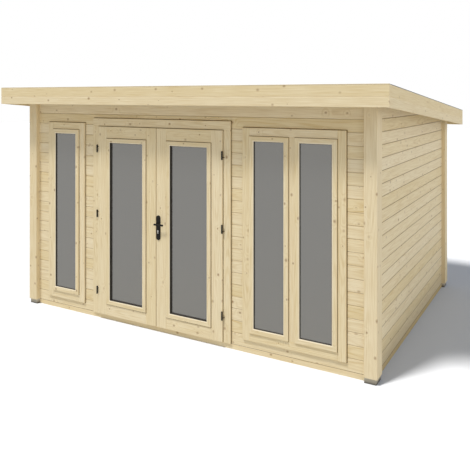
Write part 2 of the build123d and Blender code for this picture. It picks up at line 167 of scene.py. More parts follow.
def plank(low: Point, high: Point, along: Axis, ease: float = 2 * MM, end_cut: float = 0.35) -> Shape:
    """Board between two corners, with eased edges.

    An eight-sided outline, the rectangle with each corner cut by ``ease``, is carried along the board
    and drawn in by ``ease`` at both ends, where its corners are cut by the share ``end_cut`` of that.

    Args:
        low: Lowest corner.
        high: Highest corner.
        along: Direction of the grain.
        ease: Width of the eased edge.
        end_cut: Share of it that is cut off the corners at the ends.

    Returns:
        The board, with its grain places.
    """
    low, high = np.asarray(low, float), np.asarray(high, float)
    a, b, c = along.value, (along.value + 1) % 3, (along.value + 2) % 3
    middle, half = (low + high) / 2, (high - low) / 2
    inset = np.array([ease, 0, 0, ease])[:, None]
    cut = np.array([end_cut, 1, 1, end_cut])[:, None] * ease
    sections = np.empty((4, 8, 3))
    sections[:, :, a] = np.array([low[a], low[a] + ease, high[a] - ease, high[a]])[:, None]
    sections[:, :, b] = middle[b] + np.array([1, 1, 1, -1, -1, -1, -1, 1]) * (
        half[b] - inset - cut * [0, 0, 1, 1, 0, 0, 1, 1])
    sections[:, :, c] = middle[c] + np.array([-1, 1, 1, 1, 1, -1, -1, -1]) * (
        half[c] - inset - cut * [1, 1, 0, 0, 1, 1, 0, 0])
    points, faces = carried(sections, closed=False)
    wide, thick = (b, c) if half[b] >= half[c] else (c, b)
    local = np.stack([points[:, a] + tree_shift(middle), points[:, wide] - middle[wide],
                      points[:, thick] - middle[thick]], -1)
    return Shape(points, faces, local[np.concatenate(faces)])


def mitred(x0: float, x1: float, z0: float, z1: float, profile: Sequence[Pair],
           apart: float = 7.3) -> Shape:
    """Frame of four mitred lengths in the plane of the front wall.

    Each outline point, a distance in from the frame's outer edge and a depth y, is moved in from all
    four corners along both directions, and the four outlines are skinned as a closed row.

    Args:
        x0: Left edge.
        x1: Right edge.
        z0: Lower edge.
        z1: Upper edge.
        profile: Outline across one length, as (distance in, y).
        apart: How far apart along the trunk the four lengths come from.

    Returns:
        The frame, its grain following each length.
    """
    inward, depth = np.array(profile).T
    corners = np.array([(x0, z0), (x1, z0), (x1, z1), (x0, z1)])
    turns = np.array([(1, 1), (-1, 1), (-1, -1), (1, -1)])
    sections = np.empty((4, len(inward), 3))
    sections[:, :, 0] = corners[:, :1] + turns[:, :1] * inward
    sections[:, :, 1] = depth
    sections[:, :, 2] = corners[:, 1:] + turns[:, 1:] * inward
    points, faces = carried(sections, closed=True)
    owner = np.concatenate(faces)
    # The skin goes round one length at a time, with four corners to each of its faces
    side = np.repeat(np.arange(4), 4 * len(inward))
    place = np.where(side % 2 == 1, points[owner, 2], points[owner, 0]) + apart * side
    middle = np.array([(x0 + x1) / 2, depth.mean(), (z0 + z1) / 2])
    across = inward[owner % len(inward)] - inward.mean()
    grain = np.stack([place + tree_shift(middle), across, points[owner, 1] - depth.mean()], -1)
    return Shape(points, faces, grain)


def turned(centre: Point, axis: Axis, outward: float, profile: Sequence[Pair],
           steps: int = 20) -> Shape:
    """Small turned solid, such as a screw head.

    At an angle t a profile point (r, h) lies at the centre, plus r times the unit circle's point at t,
    plus h along the axis.

    Args:
        centre: Middle of its foot.
        axis: Axis of the turning.
        outward: 1 or -1, the way that it stands along the axis.
        profile: (radius, height) pairs from foot to crown; both ends are closed flat.
        steps: Points round it.

    Returns:
        The solid; its grain places are plain object places.
    """
    radius, height = np.array(profile).T
    angle = np.linspace(0, 2 * np.pi, steps, endpoint=False)
    a, b, c = axis.value, (axis.value + 1) % 3, (axis.value + 2) % 3
    sections = np.empty((len(radius), steps, 3))
    sections[:, :, a] = centre[a] + outward * height[:, None]
    sections[:, :, b] = centre[b] + radius[:, None] * np.cos(angle)
    sections[:, :, c] = centre[c] + radius[:, None] * np.sin(angle)
    return plain(*carried(sections, closed=False))


def draped(x: np.ndarray, y: np.ndarray, top: np.ndarray, bottom: np.ndarray) -> Shape:
    """Thin closed sheet whose top and bottom are heights over a grid.

    Args:
        x: Grid places across.
        y: Grid places along.
        top: Upper heights, x by y.
        bottom: Lower heights, x by y.

    Returns:
        The sheet with its rim closed.
    """
    nx, ny = len(x), len(y)
    gx, gy = np.meshgrid(x, y, indexing="ij")
    points = np.concatenate([np.stack([gx, gy, h], -1).reshape(-1, 3) for h in (top, bottom)])
    i, j = np.meshgrid(np.arange(nx - 1), np.arange(ny - 1), indexing="ij")
    first = i * ny + j
    upper = np.stack([first, first + ny, first + ny + 1, first + 1], -1).reshape(-1, 4)
    lower = upper[:, ::-1] + nx * ny
    rim = np.concatenate([np.arange(nx) * ny, (nx - 1) * ny + np.arange(1, ny),
                          np.arange(nx - 2, -1, -1) * ny + ny - 1, np.arange(ny - 2, 0, -1)])
    nxt = np.roll(rim, -1)
    sides = np.stack([rim, rim + nx * ny, nxt + nx * ny, nxt], -1)
    faces = [tuple(f) for f in np.concatenate([upper, lower, sides]).tolist()]
    return plain(points, facing_out(points, faces))


def linear(colour: str) -> tuple[float, float, float, float]:
    """Turns an sRGB hex colour to linear values.

    Args:
        colour: Hex value such as "#E3D0A6".

    Returns:
        Linear red, green and blue, and an alpha of 1.
    """
    srgb = np.array([int(colour[i:i + 2], 16) for i in (1, 3, 5)]) / 255
    value = np.where(srgb <= 0.04045, srgb / 12.92, ((srgb + 0.055) / 1.055) ** 2.4)
    return (*value.tolist(), 1.0)


def ends(side: str, pair: Pair) -> dict[str, float]:
    """Names a pair of values by the Map Range sockets, From or To, that they go to."""
    return {f"{side} Min": pair[0], f"{side} Max": pair[1]}


def add_node(tree: Tree, kind: str, inputs: dict | None = None, **settings) -> Node:
    """Adds one node with its settings and links.

    Args:
        tree: Node tree.
        kind: Type name after ShaderNode.
        inputs: Socket name or number to a node (its first output), a socket or a plain value.
        settings: Properties of the node.

    Returns:
        The new node.
    """
    made = tree.nodes.new("ShaderNode" + kind)
    for key, value in settings.items():
        setattr(made, key, value)
    for key, value in (inputs or {}).items():
        if isinstance(value, Node):
            value = value.outputs[0]
        if isinstance(value, Socket):
            tree.links.new(value, made.inputs[key])
        else:
            made.inputs[key].default_value = value
    return made


def new_material(name: str) -> Material:
    """Makes an empty node material.

    Args:
        name: Its name.

    Returns:
        The material, with no nodes in it.
    """
    made = bpy.data.materials.new(name)
    made.use_nodes = True
    made.node_tree.nodes.clear()
    return made


@dataclass(frozen=True)
class Grain:
    """Sockets for the places in a board, and for a share from 0 to 1 that is the board's own.

    Along is along the grain; across and through are measured from the board's middle.
    """

    along: Socket
    across: Socket
    through: Socket
    share: Socket


@dataclass(frozen=True)
class PlanedSpruce:
    """Spruce planed smooth and left untreated.

    The eye gets pale straw early wood, slightly deeper late wood in lines along the board, small brown
    knots with the lines bending round them, and no two boards of quite the same tone. Real rings are
    2 to 4 mm apart and fibre is finer still: the rings are drawn 9 mm apart and the fibre in streaks
    8 mm wide, as coarse as they need to show. A pair holds what a value goes from and to.
    """

    name: str
    run: Run
    early: str = "#EFE0BD"
    late: str = "#D8C192"
    roughness: float = 0.62
    roughness_shift: Pair = (0.06, -0.08)
    specular: float = 0.3
    relief: float = 0.25
    relief_depth: float = 0.4 * MM

    # Tone of each board: lightness and warmth, and how slowly they drift along the trunk and, on wood
    # without boards of its own, across the building
    lightness: Pair = (0.955, 1.0225)
    warmth: Pair = (1.12, 0.92)
    tone_drift: float = 0.09
    tone_slope: Point = (0.31, 0.17, 0.0)

    # Boards drawn on one solid, if cover isn't 0: their width, lowest edge, rise and joints
    cover: float = 0.0
    start: float = 0.0
    tilt: float = 0.0
    joint: str = "#7A5C36"
    joint_reach: float = 4.5 * MM
    joint_core: float = 0.5 * MM
    joint_depth: float = 0.45

    # Knots: metres from one to the next along and round the board, radius, share of cells without one,
    # dark middle, narrowness along the board, stain, and how far off and how much they bend the rings
    knot: str = "#8E673D"
    knot_spacing: Pair = (0.27, 0.11)
    knot_size: float = 18 * MM
    knot_least: float = 0.2 * MM
    knotless: float = 0.3
    knot_core: float = 0.2
    knot_squash: float = 0.8
    knot_stain: Pair = (0.3, 0.8)
    bend_reach: float = 4.0
    bend: float = 1.6

    # Rings and fibre: how far from the heart wood may lie, pitch, depth of tone, where late wood starts
    # on the wave, how the heart wanders (cycles to a metre, and metres sideways and below), how far the
    # rings waver, and the parts of each noise's range that fade the rings and draw the fibre
    fold: float = 0.25
    ring_pitch: float = 9 * MM
    ring_depth: float = 0.38
    ring_least: float = 0.05
    late_start: float = -0.4
    heart_drift: float = 0.35
    heart_wander: Pair = (0.16, 0.14)
    ring_waver: float = 8 * MM
    fade_noise: Pair = (0.35, 0.65)
    fibre_noise: Pair = (0.3, 0.7)
    fibre_depth: Pair = (-0.03, 0.58)

    # Cycles of each noise to a metre along, across and through the wood
    waver_grid: Point = (1.5, 16.0, 16.0)
    fade_grid: Point = (1.3, 9.0, 9.0)
    fibre_grid: Point = (4.0, 125.0, 125.0)

    # Painted highlight on the chamfer beside the glass, from this far across the bar, and painted shade
    # over the foot, up to a height
    painted_highlight: float = 0.0
    painted_highlight_edge: float = 1 * MM
    painted_highlight_colour: str = "#FFF4DC"
    painted_highlight_depth: float = 0.55
    foot_shade: float = 0.0
    foot_shade_colour: str = "#6E5C3E"
    foot_shade_depth: float = 0.3

    def places(self, tree: Tree) -> Grain:
        """Finds along, across and through the grain.

        Args:
            tree: The material's tree.

        Returns:
            The places.
        """
        if self.run is Run.PIECE:
            own = add_node(tree, "Attribute", attribute_name="grain").outputs["Vector"]
            along, across, through = add_node(tree, "SeparateXYZ", {0: own}).outputs
            tone = add_node(tree, "Math", {0: along, 1: self.tone_drift}, operation="MULTIPLY")
        else:
            spot = add_node(tree, "TexCoord").outputs["Object"]
            # Folded back to within 250 mm, so that the rings' heart lies near the wood on every side
            near = add_node(tree, "VectorMath", {0: spot, 1: [self.fold] * 3, 2: [-self.fold] * 3},
                            operation="WRAP")
            far, near = (add_node(tree, "SeparateXYZ", {0: at}).outputs for at in (spot, near))
            along, upright = (far[letter] for letter in self.run.value[:2])
            across, through = (near[letter] for letter in self.run.value[1:])
            if self.cover:
                return self.courses(tree, along, upright, through)
            tone = add_node(tree, "VectorMath", {0: spot, 1: self.tone_slope},
                            operation="DOT_PRODUCT").outputs["Value"]
        share = add_node(tree, "TexNoise", {"W": tone, "Scale": 1.0, "Detail": 0.0},
                         noise_dimensions="1D")
        return Grain(along, across, through, share.outputs[0])

    def courses(self, tree: Tree, along: Socket, upright: Socket, through: Socket) -> Grain:
        """Divides a solid into boards, each from a place of its own along the trunk.

        The board's number is the floor of (upright + tilt times along - start) / cover.

        Args:
            tree: The material's tree.
            along: Place along the boards.
            upright: Place across them.
            through: Place through them.

        Returns:
            The places in each board.
        """
        if self.tilt:
            upright = add_node(tree, "Math", {0: along, 1: self.tilt, 2: upright},
                               operation="MULTIPLY_ADD")
        count = add_node(tree, "Math", {0: upright, 1: self.start}, operation="SUBTRACT")
        count = add_node(tree, "Math", {0: count, 1: self.cover}, operation="DIVIDE")
        board = add_node(tree, "Math", {0: count}, operation="FLOOR")
        part = add_node(tree, "Math", {0: count, 1: board}, operation="SUBTRACT")
        part = add_node(tree, "Math", {0: part, 1: 0.5}, operation="SUBTRACT")
        across = add_node(tree, "Math", {0: part, 1: self.cover}, operation="MULTIPLY")
        share = add_node(tree, "TexWhiteNoise", {"W": board}, noise_dimensions="1D").outputs["Value"]
        along = add_node(tree, "Math", {0: share, 1: TRUNK, 2: along}, operation="MULTIPLY_ADD")
        return Grain(along.outputs[0], across.outputs[0], through, share)

    def knots(self, tree: Tree, wood: Grain) -> tuple[Node, Node]:
        """Scatters knots over the wood.

        There is one point to a cell, laid out along the board and round its faces (across plus through
        is one of the two on each face), and measured back in metres so that the knots come out round.

        Args:
            tree: The material's tree.
            wood: Places in the board.

        Returns:
            Nodes for the stain, from 0 to 1, and for how far the rings bend out, in metres.
        """
        length, width = self.knot_spacing
        face = add_node(tree, "Math", {0: wood.across, 1: wood.through}, operation="ADD")
        cells = add_node(tree, "CombineXYZ", {0: wood.along, 1: face})
        cells = add_node(tree, "VectorMath", {0: cells, 1: (1 / length, 1 / width, 0.0)},
                         operation="MULTIPLY")
        knots = add_node(tree, "TexVoronoi", {"Vector": cells, "Scale": 1.0, "Randomness": 1.0},
                         voronoi_dimensions="2D")
        away = add_node(tree, "VectorMath", {0: cells, 1: knots.outputs["Position"]},
                        operation="SUBTRACT")
        away = add_node(tree, "VectorMath", {0: away, 1: (length * self.knot_squash, width, 0.0)},
                        operation="MULTIPLY")
        away = add_node(tree, "VectorMath", {0: away}, operation="LENGTH").outputs["Value"]
        draw = add_node(tree, "SeparateColor", {0: knots.outputs["Color"]})
        grown = add_node(tree, "Math", {0: draw, 1: self.knotless}, operation="GREATER_THAN")
        size = add_node(tree, "Math", {0: draw, 1: grown}, operation="MULTIPLY")
        size = add_node(tree, "Math", {0: size, 1: self.knot_size, 2: self.knot_least},
                        operation="MULTIPLY_ADD")
        core = add_node(tree, "Math", {0: size, 1: self.knot_core}, operation="MULTIPLY")
        reach = add_node(tree, "Math", {0: size, 1: self.bend_reach}, operation="MULTIPLY")
        inside = add_node(tree, "MapRange", {"Value": away, "From Min": size, "From Max": core})
        bend = add_node(tree, "MapRange", {"Value": away, "From Min": reach, "From Max": 0.0,
                                           "To Max": self.bend * self.ring_pitch},
                        interpolation_type="SMOOTHSTEP")
        strength = add_node(tree, "MapRange", {"Value": draw.outputs["Green"],
                                               **ends("To", self.knot_stain)})
        return add_node(tree, "Math", {0: inside, 1: strength}, operation="MULTIPLY"), bend

    def rings(self, tree: Tree, wood: Grain, bend: Node) -> tuple[Node, Node]:
        """Draws year rings and fibre.

        Rings are a sine of the distance from a heart that wanders below the board, so that flat faces
        show long arches; they fade in and out.

        Args:
            tree: The material's tree.
            wood: Places in the board.
            bend: How far knots bend the rings out.

        Returns:
            Nodes for the lines and for the fibre.
        """
        place = add_node(tree, "CombineXYZ", {0: wood.along, 1: wood.across, 2: wood.through})
        noises = []
        for grid, detail in (self.waver_grid, 1.0), (self.fade_grid, 2.0), (self.fibre_grid, 2.0):
            spot = add_node(tree, "VectorMath", {0: place, 1: grid}, operation="MULTIPLY")
            noises.append(add_node(tree, "TexNoise", {"Vector": spot, "Scale": 1.0, "Detail": detail}))
        waver, fade, fibre = noises
        drift = add_node(tree, "Math", {0: wood.along, 1: self.heart_drift}, operation="MULTIPLY")
        heart = add_node(tree, "TexNoise", {"W": drift, "Scale": 1.0, "Detail": 1.0},
                         noise_dimensions="1D")
        heart = add_node(tree, "SeparateColor", {0: heart.outputs["Color"]})
        sideways = add_node(tree, "Math", {0: heart.outputs["Red"], 1: 0.5}, operation="SUBTRACT")
        wide, deep = self.heart_wander
        sideways = add_node(tree, "Math", {0: sideways, 1: wide, 2: wood.across},
                            operation="MULTIPLY_ADD")
        below = add_node(tree, "Math", {0: heart.outputs["Green"], 1: deep, 2: wood.through},
                         operation="MULTIPLY_ADD")
        radius = add_node(tree, "CombineXYZ", {0: sideways, 1: below})
        radius = add_node(tree, "VectorMath", {0: radius}, operation="LENGTH").outputs["Value"]
        radius = add_node(tree, "Math", {0: waver, 1: self.ring_waver, 2: radius},
                          operation="MULTIPLY_ADD")
        radius = add_node(tree, "Math", {0: radius, 1: bend}, operation="ADD")
        turns = add_node(tree, "Math", {0: radius, 1: 2 * math.pi / self.ring_pitch},
                         operation="MULTIPLY")
        turns = add_node(tree, "Math", {0: turns}, operation="SINE")
        late = add_node(tree, "MapRange", {"Value": turns, "From Min": self.late_start},
                        interpolation_type="SMOOTHSTEP")
        fade = add_node(tree, "MapRange", {"Value": fade, **ends("From", self.fade_noise),
                                           **ends("To", (self.ring_least, self.ring_depth))})
        return add_node(tree, "Math", {0: late, 1: fade}, operation="MULTIPLY"), fibre

    def joints_and_painted_light(self, tree: Tree, wood: Grain) -> list[tuple[Node, str]]:
        """Finds the joints, the painted highlight on chamfers and the painted shade at the foot, which
        lie over the wood's own tone.

        Args:
            tree: The material's tree.
            wood: Places in the board.

        Returns:
            How much each one covers, and its colour.
        """
        found = []
        if self.cover:
            edge = add_node(tree, "Math", {0: wood.across}, operation="ABSOLUTE")
            span = (self.cover / 2 - self.joint_reach, self.cover / 2 - self.joint_core)
            found.append((add_node(tree, "MapRange", {"Value": edge, **ends("From", span),
                                                      "To Max": self.joint_depth}), self.joint))
        # Painted highlight: paler wood on the chamfer beside the glass
        if self.painted_highlight:
            span = (self.painted_highlight - self.painted_highlight_edge, self.painted_highlight)
            found.append((add_node(tree, "MapRange", {"Value": wood.across, **ends("From", span),
                                                      "To Max": self.painted_highlight_depth}), self.painted_highlight_colour))
        # Painted shade: darker towards the foot of the wall, smoothly from this height down
        if self.foot_shade:
            spot = add_node(tree, "SeparateXYZ", {0: add_node(tree, "TexCoord").outputs["Object"]})
            found.append((add_node(tree, "MapRange", {
                "Value": spot.outputs["Z"], "From Min": self.foot_shade, "From Max": 0.0,
                "To Max": self.foot_shade_depth}, interpolation_type="SMOOTHSTEP"), self.foot_shade_colour))
        return found

    def build(self) -> Material:
        """Builds the node tree.

        Returns:
            The finished material.
        """
        made = new_material(self.name)
        tree = made.node_tree
        wood = self.places(tree)
        stain, bend = self.knots(tree, wood)
        lines, fibre = self.rings(tree, wood, bend)
        streak = add_node(tree, "MapRange", {"Value": fibre, **ends("From", self.fibre_noise),
                                             **ends("To", self.fibre_depth)})
        deep = add_node(tree, "Math", {0: lines, 1: streak}, operation="ADD")
        colour = add_node(tree, "Mix", {"Factor": deep, TONE_A: linear(self.early),
                                        TONE_B: linear(self.late)}, data_type="RGBA").outputs[MIXED]
        value, warm = (add_node(tree, "MapRange", {"Value": wood.share, **ends("To", pair)})
                       for pair in (self.lightness, self.warmth))
        colour = add_node(tree, "HueSaturation", {"Color": colour, "Value": value, "Saturation": warm})
        for factor, tone in [(stain, self.knot), *self.joints_and_painted_light(tree, wood)]:
            colour = add_node(tree, "Mix", {"Factor": factor, TONE_A: colour, TONE_B: linear(tone)},
                              data_type="RGBA").outputs[MIXED]
        height = add_node(tree, "Math", {0: lines, 1: fibre}, operation="ADD")
        relief = add_node(tree, "Bump", {"Height": height, "Strength": self.relief,
                                         "Distance": self.relief_depth})
        rough, smooth = (self.roughness + shift for shift in self.roughness_shift)
        gloss = add_node(tree, "MapRange", {"Value": deep, **ends("To", (rough, smooth))})
        shader = add_node(tree, "BsdfPrincipled", {
            "Base Color": colour, "Roughness": gloss, "Specular IOR Level": self.specular,
            "Normal": relief})
        add_node(tree, "OutputMaterial", {"Surface": shader})
        return made


@dataclass(frozen=True)
class SpeckledFinish:
    """Finish with a fine speckle: felt, rubber, painted shade, powder coat, nickel, glass or foot
    timber.

    Two tones are mixed by noise whose grain has a real size and by a broader one, and the fine noise
    lifts the surface. A finish with a shade height is painted darker up to that height, as shade at its
    foot.
    """

    name: str
    base: str
    fleck: str
    grain: float
    roughness: float
    metallic: float = 0.0
    specular: float = 0.5
    relief: float = 0.1
    relief_depth: float = 0.3
    alpha: float = 1.0
    contrast: float = 0.25
    broad: float = 0.06
    gloss_range: Pair = (0.85, 1.15)
    shade_height: float = 0.0
    shade_colour: str = "#34302A"

    def build(self) -> Material:
        """Builds the node tree.

        Returns:
            The finished material.
        """
        made = new_material(self.name)
        tree = made.node_tree
        spot = add_node(tree, "TexCoord").outputs["Object"]
        fine, broad = (add_node(tree, "TexNoise", {"Vector": spot, "Scale": scale, "Detail": detail})
                       for scale, detail in ((1 / self.grain, 3.0), (self.broad / self.grain, 2.0)))
        both = add_node(tree, "Math", {0: fine, 1: broad}, operation="ADD")
        share = add_node(tree, "MapRange", {
            "Value": both, **ends("From", (1 - self.contrast, 1 + self.contrast))})
        colour = add_node(tree, "Mix", {"Factor": share, TONE_A: linear(self.base),
                                        TONE_B: linear(self.fleck)}, data_type="RGBA").outputs[MIXED]
        # Painted shade: darker towards the foot, as the shadow where it meets the ground
        if self.shade_height:
            rise = add_node(tree, "SeparateXYZ", {0: spot}).outputs["Z"]
            shaded_foot = add_node(tree, "MapRange", {"Value": rise, "From Min": self.shade_height,
                                              "From Max": 0.0})
            colour = add_node(tree, "Mix", {"Factor": shaded_foot, TONE_A: colour, TONE_B: linear(self.shade_colour)},
                              data_type="RGBA").outputs[MIXED]
        smooth, rough = (min(1.0, self.roughness * part) for part in self.gloss_range)
        gloss = add_node(tree, "MapRange", {"Value": broad, **ends("To", (smooth, rough))})
        relief = add_node(tree, "Bump", {"Height": fine, "Strength": self.relief,
                                         "Distance": self.grain * self.relief_depth})
        shader = add_node(tree, "BsdfPrincipled", {
            "Base Color": colour, "Roughness": gloss, "Metallic": self.metallic,
            "Specular IOR Level": self.specular, "Alpha": self.alpha, "Normal": relief})
        add_node(tree, "OutputMaterial", {"Surface": shader})
        return made


@dataclass
class Finishes:
    """Every finish of the building, built once, and where the finishes draw joints, painted shade and
    painted highlights.

    A fascia shows one pale line, a painted highlight over the shade of the groove where its upper and
    lower boards meet. It is drawn as the top of a course so deep that no other line falls on the
    fascia.
    """

    cover: float = 113.4 * MM
    course_start: float = 50 * MM
    roof_height: float = 2.5
    roof_depth: float = 3.448
    roof_drop: float = 0.274
    fascia_line: float = 102 * MM
    fascia_course: float = 2.0
    # Painted highlight in the fascias' groove, over its shade
    joint_highlight: str = "#FFF2D8"
    # Height of the painted shade at the foot of the side walls
    foot_shade: float = 0.34
    # Where the painted highlight on a glazing bar's chamfer begins, across the bar
    chamfer_start: float = 16.5 * MM
    made: dict[str, Material] = field(default_factory=dict)

    def woods(self) -> list[PlanedSpruce]:
        """Lists the finishes of the wood.

        Returns:
            One for each way that boards run and are made.
        """
        courses = {"cover": self.cover, "start": self.course_start}
        # Fascias: their one joint line is a painted highlight
        line = {"cover": self.fascia_course, "joint": self.joint_highlight}
        fall = self.roof_drop / self.roof_depth
        front = self.roof_height - self.fascia_line - self.fascia_course
        return [
            PlanedSpruce("planed_spruce_joinery", Run.PIECE),
            # Glazing bars: a painted highlight on the chamfer beside the glass
            PlanedSpruce("planed_spruce_glazing_bars", Run.PIECE, painted_highlight=self.chamfer_start),
            PlanedSpruce("planed_spruce_boards_x", Run.ALONG_X_UPRIGHT, **courses),
            # Side walls: wider, darker joints, and painted shade towards their foot
            PlanedSpruce("planed_spruce_boards_y", Run.ALONG_Y_UPRIGHT, **courses, joint_reach=6 * MM,
                         joint_depth=0.7, foot_shade=self.foot_shade),
            PlanedSpruce("planed_spruce_posts", Run.ALONG_Z, early="#EEDEBB", ring_depth=0.26),
            PlanedSpruce("planed_spruce_beams", Run.ALONG_X_UPRIGHT),
            PlanedSpruce("planed_spruce_eaves", Run.ALONG_X_UPRIGHT, **line, start=front,
                         joint_depth=0.35),
            PlanedSpruce("planed_spruce_rear_eaves", Run.ALONG_X_UPRIGHT, **line,
                         start=front - self.roof_drop, joint_depth=0.35),
            PlanedSpruce("planed_spruce_verges", Run.ALONG_Y_UPRIGHT, **line,
                         start=front - self.roof_depth / 2 * fall, tilt=fall, joint_depth=0.3),
            PlanedSpruce("planed_spruce_floor", Run.ALONG_X_FLAT, cover=self.cover,
                         joint_reach=2 * MM),
            PlanedSpruce("planed_spruce_deck", Run.ALONG_X_FLAT, cover=self.cover,
                         joint_reach=3 * MM),
            PlanedSpruce("sawn_spruce_bearers", Run.PIECE, early="#F0E0BC", late="#DBC290",
                         roughness=0.85),
            # Side bearers: a darker tone as painted shade
            PlanedSpruce("painted_shade_spruce_bearers", Run.PIECE, early="#CDB88C", late="#B9A478",
                         roughness=0.9),
            PlanedSpruce("sawn_spruce_joists", Run.ALONG_Y_UPRIGHT, roughness=0.85),
        ]

    def others(self) -> list[SpeckledFinish]:
        """Lists the finishes of everything that isn't bare wood.

        Returns:
            One for each stuff.
        """
        return [
            # Mineral felt: slate granules 1 to 2 mm across in bitumen, matt and gritty
            SpeckledFinish("mineral_roofing_felt", "#5B5C60", "#838487", 3 * MM, 0.95, relief=0.7,
                           contrast=0.45),
            # Reflective solar glass, grey float with a sprayed metal coat: an even grey gleam of sky
            SpeckledFinish("reflective_grey_glass", "#807E79", "#82807B", 900 * MM, 0.2, relief=0.0,
                           metallic=0.75, specular=0.35, contrast=0.8),
            # Clear float glass behind it: hardly there but for its gleam
            SpeckledFinish("clear_float_glass", "#20211F", "#232422", 900 * MM, 0.03, relief=0.0,
                           alpha=0.06, contrast=0.8),
            # Glazing rubber, extruded: dull black polymer
            SpeckledFinish("black_glazing_rubber", "#1C170E", "#2A2318", 2 * MM, 0.7, relief=0.2),
            # Painted shade: a brown bead between the wood and the rubber stands in for the reveal's
            # shade
            SpeckledFinish("brown_painted_shade_bead", "#33281A", "#40331F", 2 * MM, 0.6, relief=0.2),
            # Painted shade: matt brown strips, seen edge on where trims meet boards, stand in for the
            # shade lines along those edges
            SpeckledFinish("brown_painted_shade_strip", "#725B38", "#806843", 2 * MM, 0.95, relief=0.3),
            # Powder-coated zinc: satin black with a fine orange peel of about 1 mm
            SpeckledFinish("black_powder_coat", "#12100D", "#191612", 1 * MM, 0.65, specular=0.2,
                           relief=0.25),
            # Satin nickel on brass: light warm grey metal with a soft gleam
            SpeckledFinish("satin_nickel", "#C9C6BF", "#B5B2AA", 1 * MM, 0.3, metallic=1.0,
                           relief=0.05),
            # Treated sawn foot timber: pale grey-brown, with painted shade darkening its lowest 48 mm
            SpeckledFinish("treated_foot_timber", "#CFC7B4", "#DCD3BF", 6 * MM, 0.9, relief=0.4,
                           shade_height=48 * MM),
        ]

    def build(self) -> None:
        """Makes the materials by the names that the pieces ask for."""
        for finish in self.woods() + self.others():
            self.made[finish.name] = finish.build()
            LOG.info("finish %s", finish.name)


def make_piece(name: str, shape: Shape, finish: Material, body: str,
               replaces: Sequence[str] = (), smooth: bool = False) -> None:
    """Puts a shape into the scene as one piece that rides on a body.

    Args:
        name: Name of the piece.
        shape: Its surface, already in place.
        finish: Its material.
        body: Body that it rides on.
        replaces: Nodes that it stands for.
        smooth: True where its faces are shaded round.
    """
    mesh = bpy.data.meshes.new(name)
    mesh.from_pydata(shape.points.tolist(), [], shape.faces)
    grain = mesh.attributes.new("grain", "FLOAT_VECTOR", "CORNER")
    grain.data.foreach_set("vector", shape.grain.astype(np.float32).ravel())
    mesh.polygons.foreach_set("use_smooth", np.full(len(mesh.polygons), smooth))
    mesh.update()
    mesh.materials.append(finish)
    made = bpy.data.objects.new(name, mesh)
    bpy.context.scene.collection.objects.link(made)
    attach(made, body)
    if replaces:
        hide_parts(*replaces)
    LOG.info("piece %s: %d faces on %s", name, len(shape.faces), body)


def dress_nodes(finish: Material, *names: str) -> None:
    """Gives a finish to parts of the frame that keep their own shape.

    Args:
        finish: The material.
        names: Their nodes.
    """
    for name in names:
        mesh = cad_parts[name].data
        mesh.materials.clear()
        mesh.materials.append(finish)
        LOG.info("node %s: %s", name, finish.name)


def shade_strip(x0: float, x1: float, z0: float, z1: float, width: float, face: float) -> Shape:
    """Painted shade round a frame: a mitred dark strip 1 mm thick on the face that the frame stands on.

    Args:
        x0: Left edge of the frame.
        x1: Right edge of the frame.
        z0: Lower edge of the frame.
        z1: Upper edge of the frame.
        width: How far the strip shows beyond the frame.
        face: Face that it lies on, y.

    Returns:
        The strip.
    """
    front, back = face - SHADE_STRIP_PROUD, face + SHADE_STRIP_SUNK
    return mitred(x0 - width, x1 + width, z0 - width, z1 + width,
                  [(0, front), (width, front), (width, back), (0, back)])


@dataclass
class Glazing:
    """Sealed units: grey pane, black spacer and clear pane.

    Black rubber fills the seam between the grey pane and the bars, under a brown bead of painted shade
    in the reveal. The bars have a chamfer beside it, and the pane lies in a recess behind their face.
    """

    finishes: Finishes
    pane: float = 4 * MM
    pane_ease: float = 0.5 * MM
    spacer_face: float = 3 * MM
    rubber: float = 3 * MM
    shade_bead: float = 2.5 * MM
    chamfer: float = 5.5 * MM
    recess: float = 17 * MM
    depth: float = 24 * MM

    def unit(self, name: str, opening: tuple[float, float, float, float], bars: float, front: float,
             body: str, replaces: Sequence[str]) -> None:
        """Builds one sealed unit.

        Args:
            name: Start of the pieces' names.
            opening: Left, right, lower and upper edges.
            bars: Outer face of the bars round it, y.
            front: Outer face of the grey pane, y.
            body: Body that it rides on.
            replaces: Nodes that it stands for.
        """
        x0, x1, z0, z1 = opening
        lip, back = bars + self.chamfer, front + self.depth
        inner, outer, seam = front + self.pane, back - self.pane, lip + self.shade_bead
        grey = plank((x0, front, z0), (x1, inner, z1), Axis.Z, self.pane_ease)
        clear = plank((x0, outer, z0), (x1, back, z1), Axis.Z, self.pane_ease)
        spacer = mitred(x0, x1, z0, z1, [(0, inner), (self.spacer_face, inner),
                                         (self.spacer_face, outer), (0, outer)])
        rubber = mitred(x0, x1, z0, z1, [(0, seam), (self.rubber, seam),
                                         (self.rubber, front), (0, front)])
        # Painted shade: a brown bead in the reveal behind the chamfer stands in for the reveal's shade
        shade_bead = mitred(x0, x1, z0, z1, [(0, lip), (self.rubber, seam), (0, seam)])
        for part, shape, finish, stands_for in (
                ("grey_pane", grey, "reflective_grey_glass", replaces),
                ("clear_pane", clear, "clear_float_glass", ()),
                ("painted_shade_bead", shade_bead, "brown_painted_shade_bead", ()),
                ("edge_rubber", joined([spacer, rubber]), "black_glazing_rubber", ())):
            make_piece(f"{name}_{part}", shape, self.finishes.made[finish], body,
                       stands_for)


